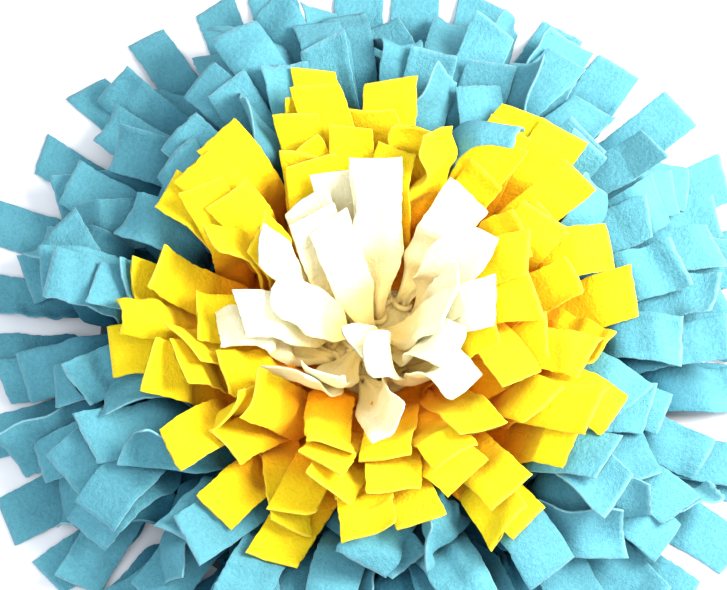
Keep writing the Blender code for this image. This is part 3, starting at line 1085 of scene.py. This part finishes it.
class MAT_OT_strips(bpy.types.Operator):
    """Lay the fleece strips of one bed of knots"""

    bl_idname = "snuffle_mat.strips"
    bl_label = "Fleece strips"

    bed: bpy.props.StringProperty(name="Bed", description="Which bed of knots", default=BEDS[0][0])

    def execute(self, context):
        number = [name for name, _, _ in BEDS].index(self.bed)
        _, inner, outer = BEDS[number]
        parts = [(*bed_mesh(inner * MM, outer * MM), 0.0)]
        for tail, look, mesh in dressed():
            if ROWS[tail.row][0] != self.bed:
                continue
            parts.append((*mesh, look.tone))
            parts.append((*knot_mesh(look), look.tone))
        piece = add_piece(self.bed + "_fleece", *joined(parts))
        settings = context.scene.snuffle_mat_fleece
        piece.data.materials.append(fleece(self.bed + "_fleece", BED_FLEECE[self.bed], settings))
        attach(piece, "root")
        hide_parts(self.bed)
        return {"FINISHED"}


class MAT_OT_base(bpy.types.Operator):
    """Finish the rubber base mat"""

    bl_idname = "snuffle_mat.base"
    bl_label = "Base mat"

    def execute(self, context):
        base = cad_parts["base_mat"]
        base.data.materials.clear()
        base.data.materials.append(rubber())
        return {"FINISHED"}


def add_light(name, place, size, colour, watts):
    """A square soft light that shines on the mat's middle"""
    light = bpy.data.lights.new(name, "AREA")
    light.energy, light.size, light.color = watts, size, colour
    obj = bpy.data.objects.new(name, light)
    obj.location = place
    obj.rotation_euler = (-Vector(place)).to_track_quat("-Z", "Y").to_euler()
    bpy.context.scene.collection.objects.link(obj)


class MAT_OT_stage(bpy.types.Operator):
    """Set the pale floor, the soft lights and the camera"""

    bl_idname = "snuffle_mat.stage"
    bl_label = "Stage"

    def execute(self, context):
        settings = context.scene.snuffle_mat_stage
        bpy.ops.object.select_all(action="DESELECT")
        bpy.ops.mesh.primitive_plane_add(size=FLOOR_WIDTH, location=(0, 0, 0))
        floor = context.object
        floor.name = "floor"
        floor.data.transform(floor.matrix_world)
        floor.matrix_world.identity()
        paint = Finish("floor_paint", Base_Color=FLOOR_COLOUR, Roughness=0.7, Specular_IOR_Level=0.2)
        floor.data.materials.append(paint.material)

        world = bpy.data.worlds.new("room")
        context.scene.world = world
        world.use_nodes = True
        room = world.node_tree.nodes["Background"]
        room.inputs["Color"].default_value = ROOM_COLOUR
        room.inputs["Strength"].default_value = settings.sky
        add_light("key", *KEY_LIGHT, settings.key)
        add_light("fill", *FILL_LIGHT, settings.fill)

        aim = Vector(CAMERA_AIM)
        back = Vector((0, -math.cos(settings.height), math.sin(settings.height)))
        camera = bpy.data.objects.new("camera", bpy.data.cameras.new("camera"))
        camera.location = aim + back * settings.distance
        camera.rotation_euler = (-back).to_track_quat("-Z", "Y").to_euler()
        camera.data.lens = camera.data.sensor_width * settings.distance / settings.frame_width
        context.scene.collection.objects.link(camera)
        context.scene.camera = camera
        context.scene.view_settings.view_transform = "Standard"
        return {"FINISHED"}


class MAT_PT_panel(bpy.types.Panel):
    """Sizes, colours and steps of the snuffle mat"""

    bl_idname = "MAT_PT_snuffle_mat"
    bl_label = "Snuffle Mat"
    bl_space_type = "VIEW_3D"
    bl_region_type = "UI"
    bl_category = "Snuffle Mat"

    def draw(self, context):
        for group in (context.scene.snuffle_mat_fleece, context.scene.snuffle_mat_stage):
            box = self.layout.box()
            for key in group.bl_rna.properties.keys():
                if key not in ("rna_type", "name"):
                    box.prop(group, key)
        for name, _, _ in BEDS:
            self.layout.operator(MAT_OT_strips.bl_idname, text=name.replace("_", " ")).bed = name
        self.layout.operator(MAT_OT_base.bl_idname)
        self.layout.operator(MAT_OT_stage.bl_idname)


CLASSES = (FleeceSettings, StageSettings, MAT_OT_strips, MAT_OT_base, MAT_OT_stage, MAT_PT_panel)


def register():
    for cls in CLASSES:
        bpy.utils.register_class(cls)
    bpy.types.Scene.snuffle_mat_fleece = bpy.props.PointerProperty(type=FleeceSettings)
    bpy.types.Scene.snuffle_mat_stage = bpy.props.PointerProperty(type=StageSettings)


def unregister():
    del bpy.types.Scene.snuffle_mat_stage
    del bpy.types.Scene.snuffle_mat_fleece
    for cls in reversed(CLASSES):
        bpy.utils.unregister_class(cls)


def main():
    register()
    for name, _, _ in BEDS:
        bpy.ops.snuffle_mat.strips(bed=name)
    bpy.ops.snuffle_mat.base()
    bpy.ops.snuffle_mat.stage()


if __name__ == "__main__":
    main()
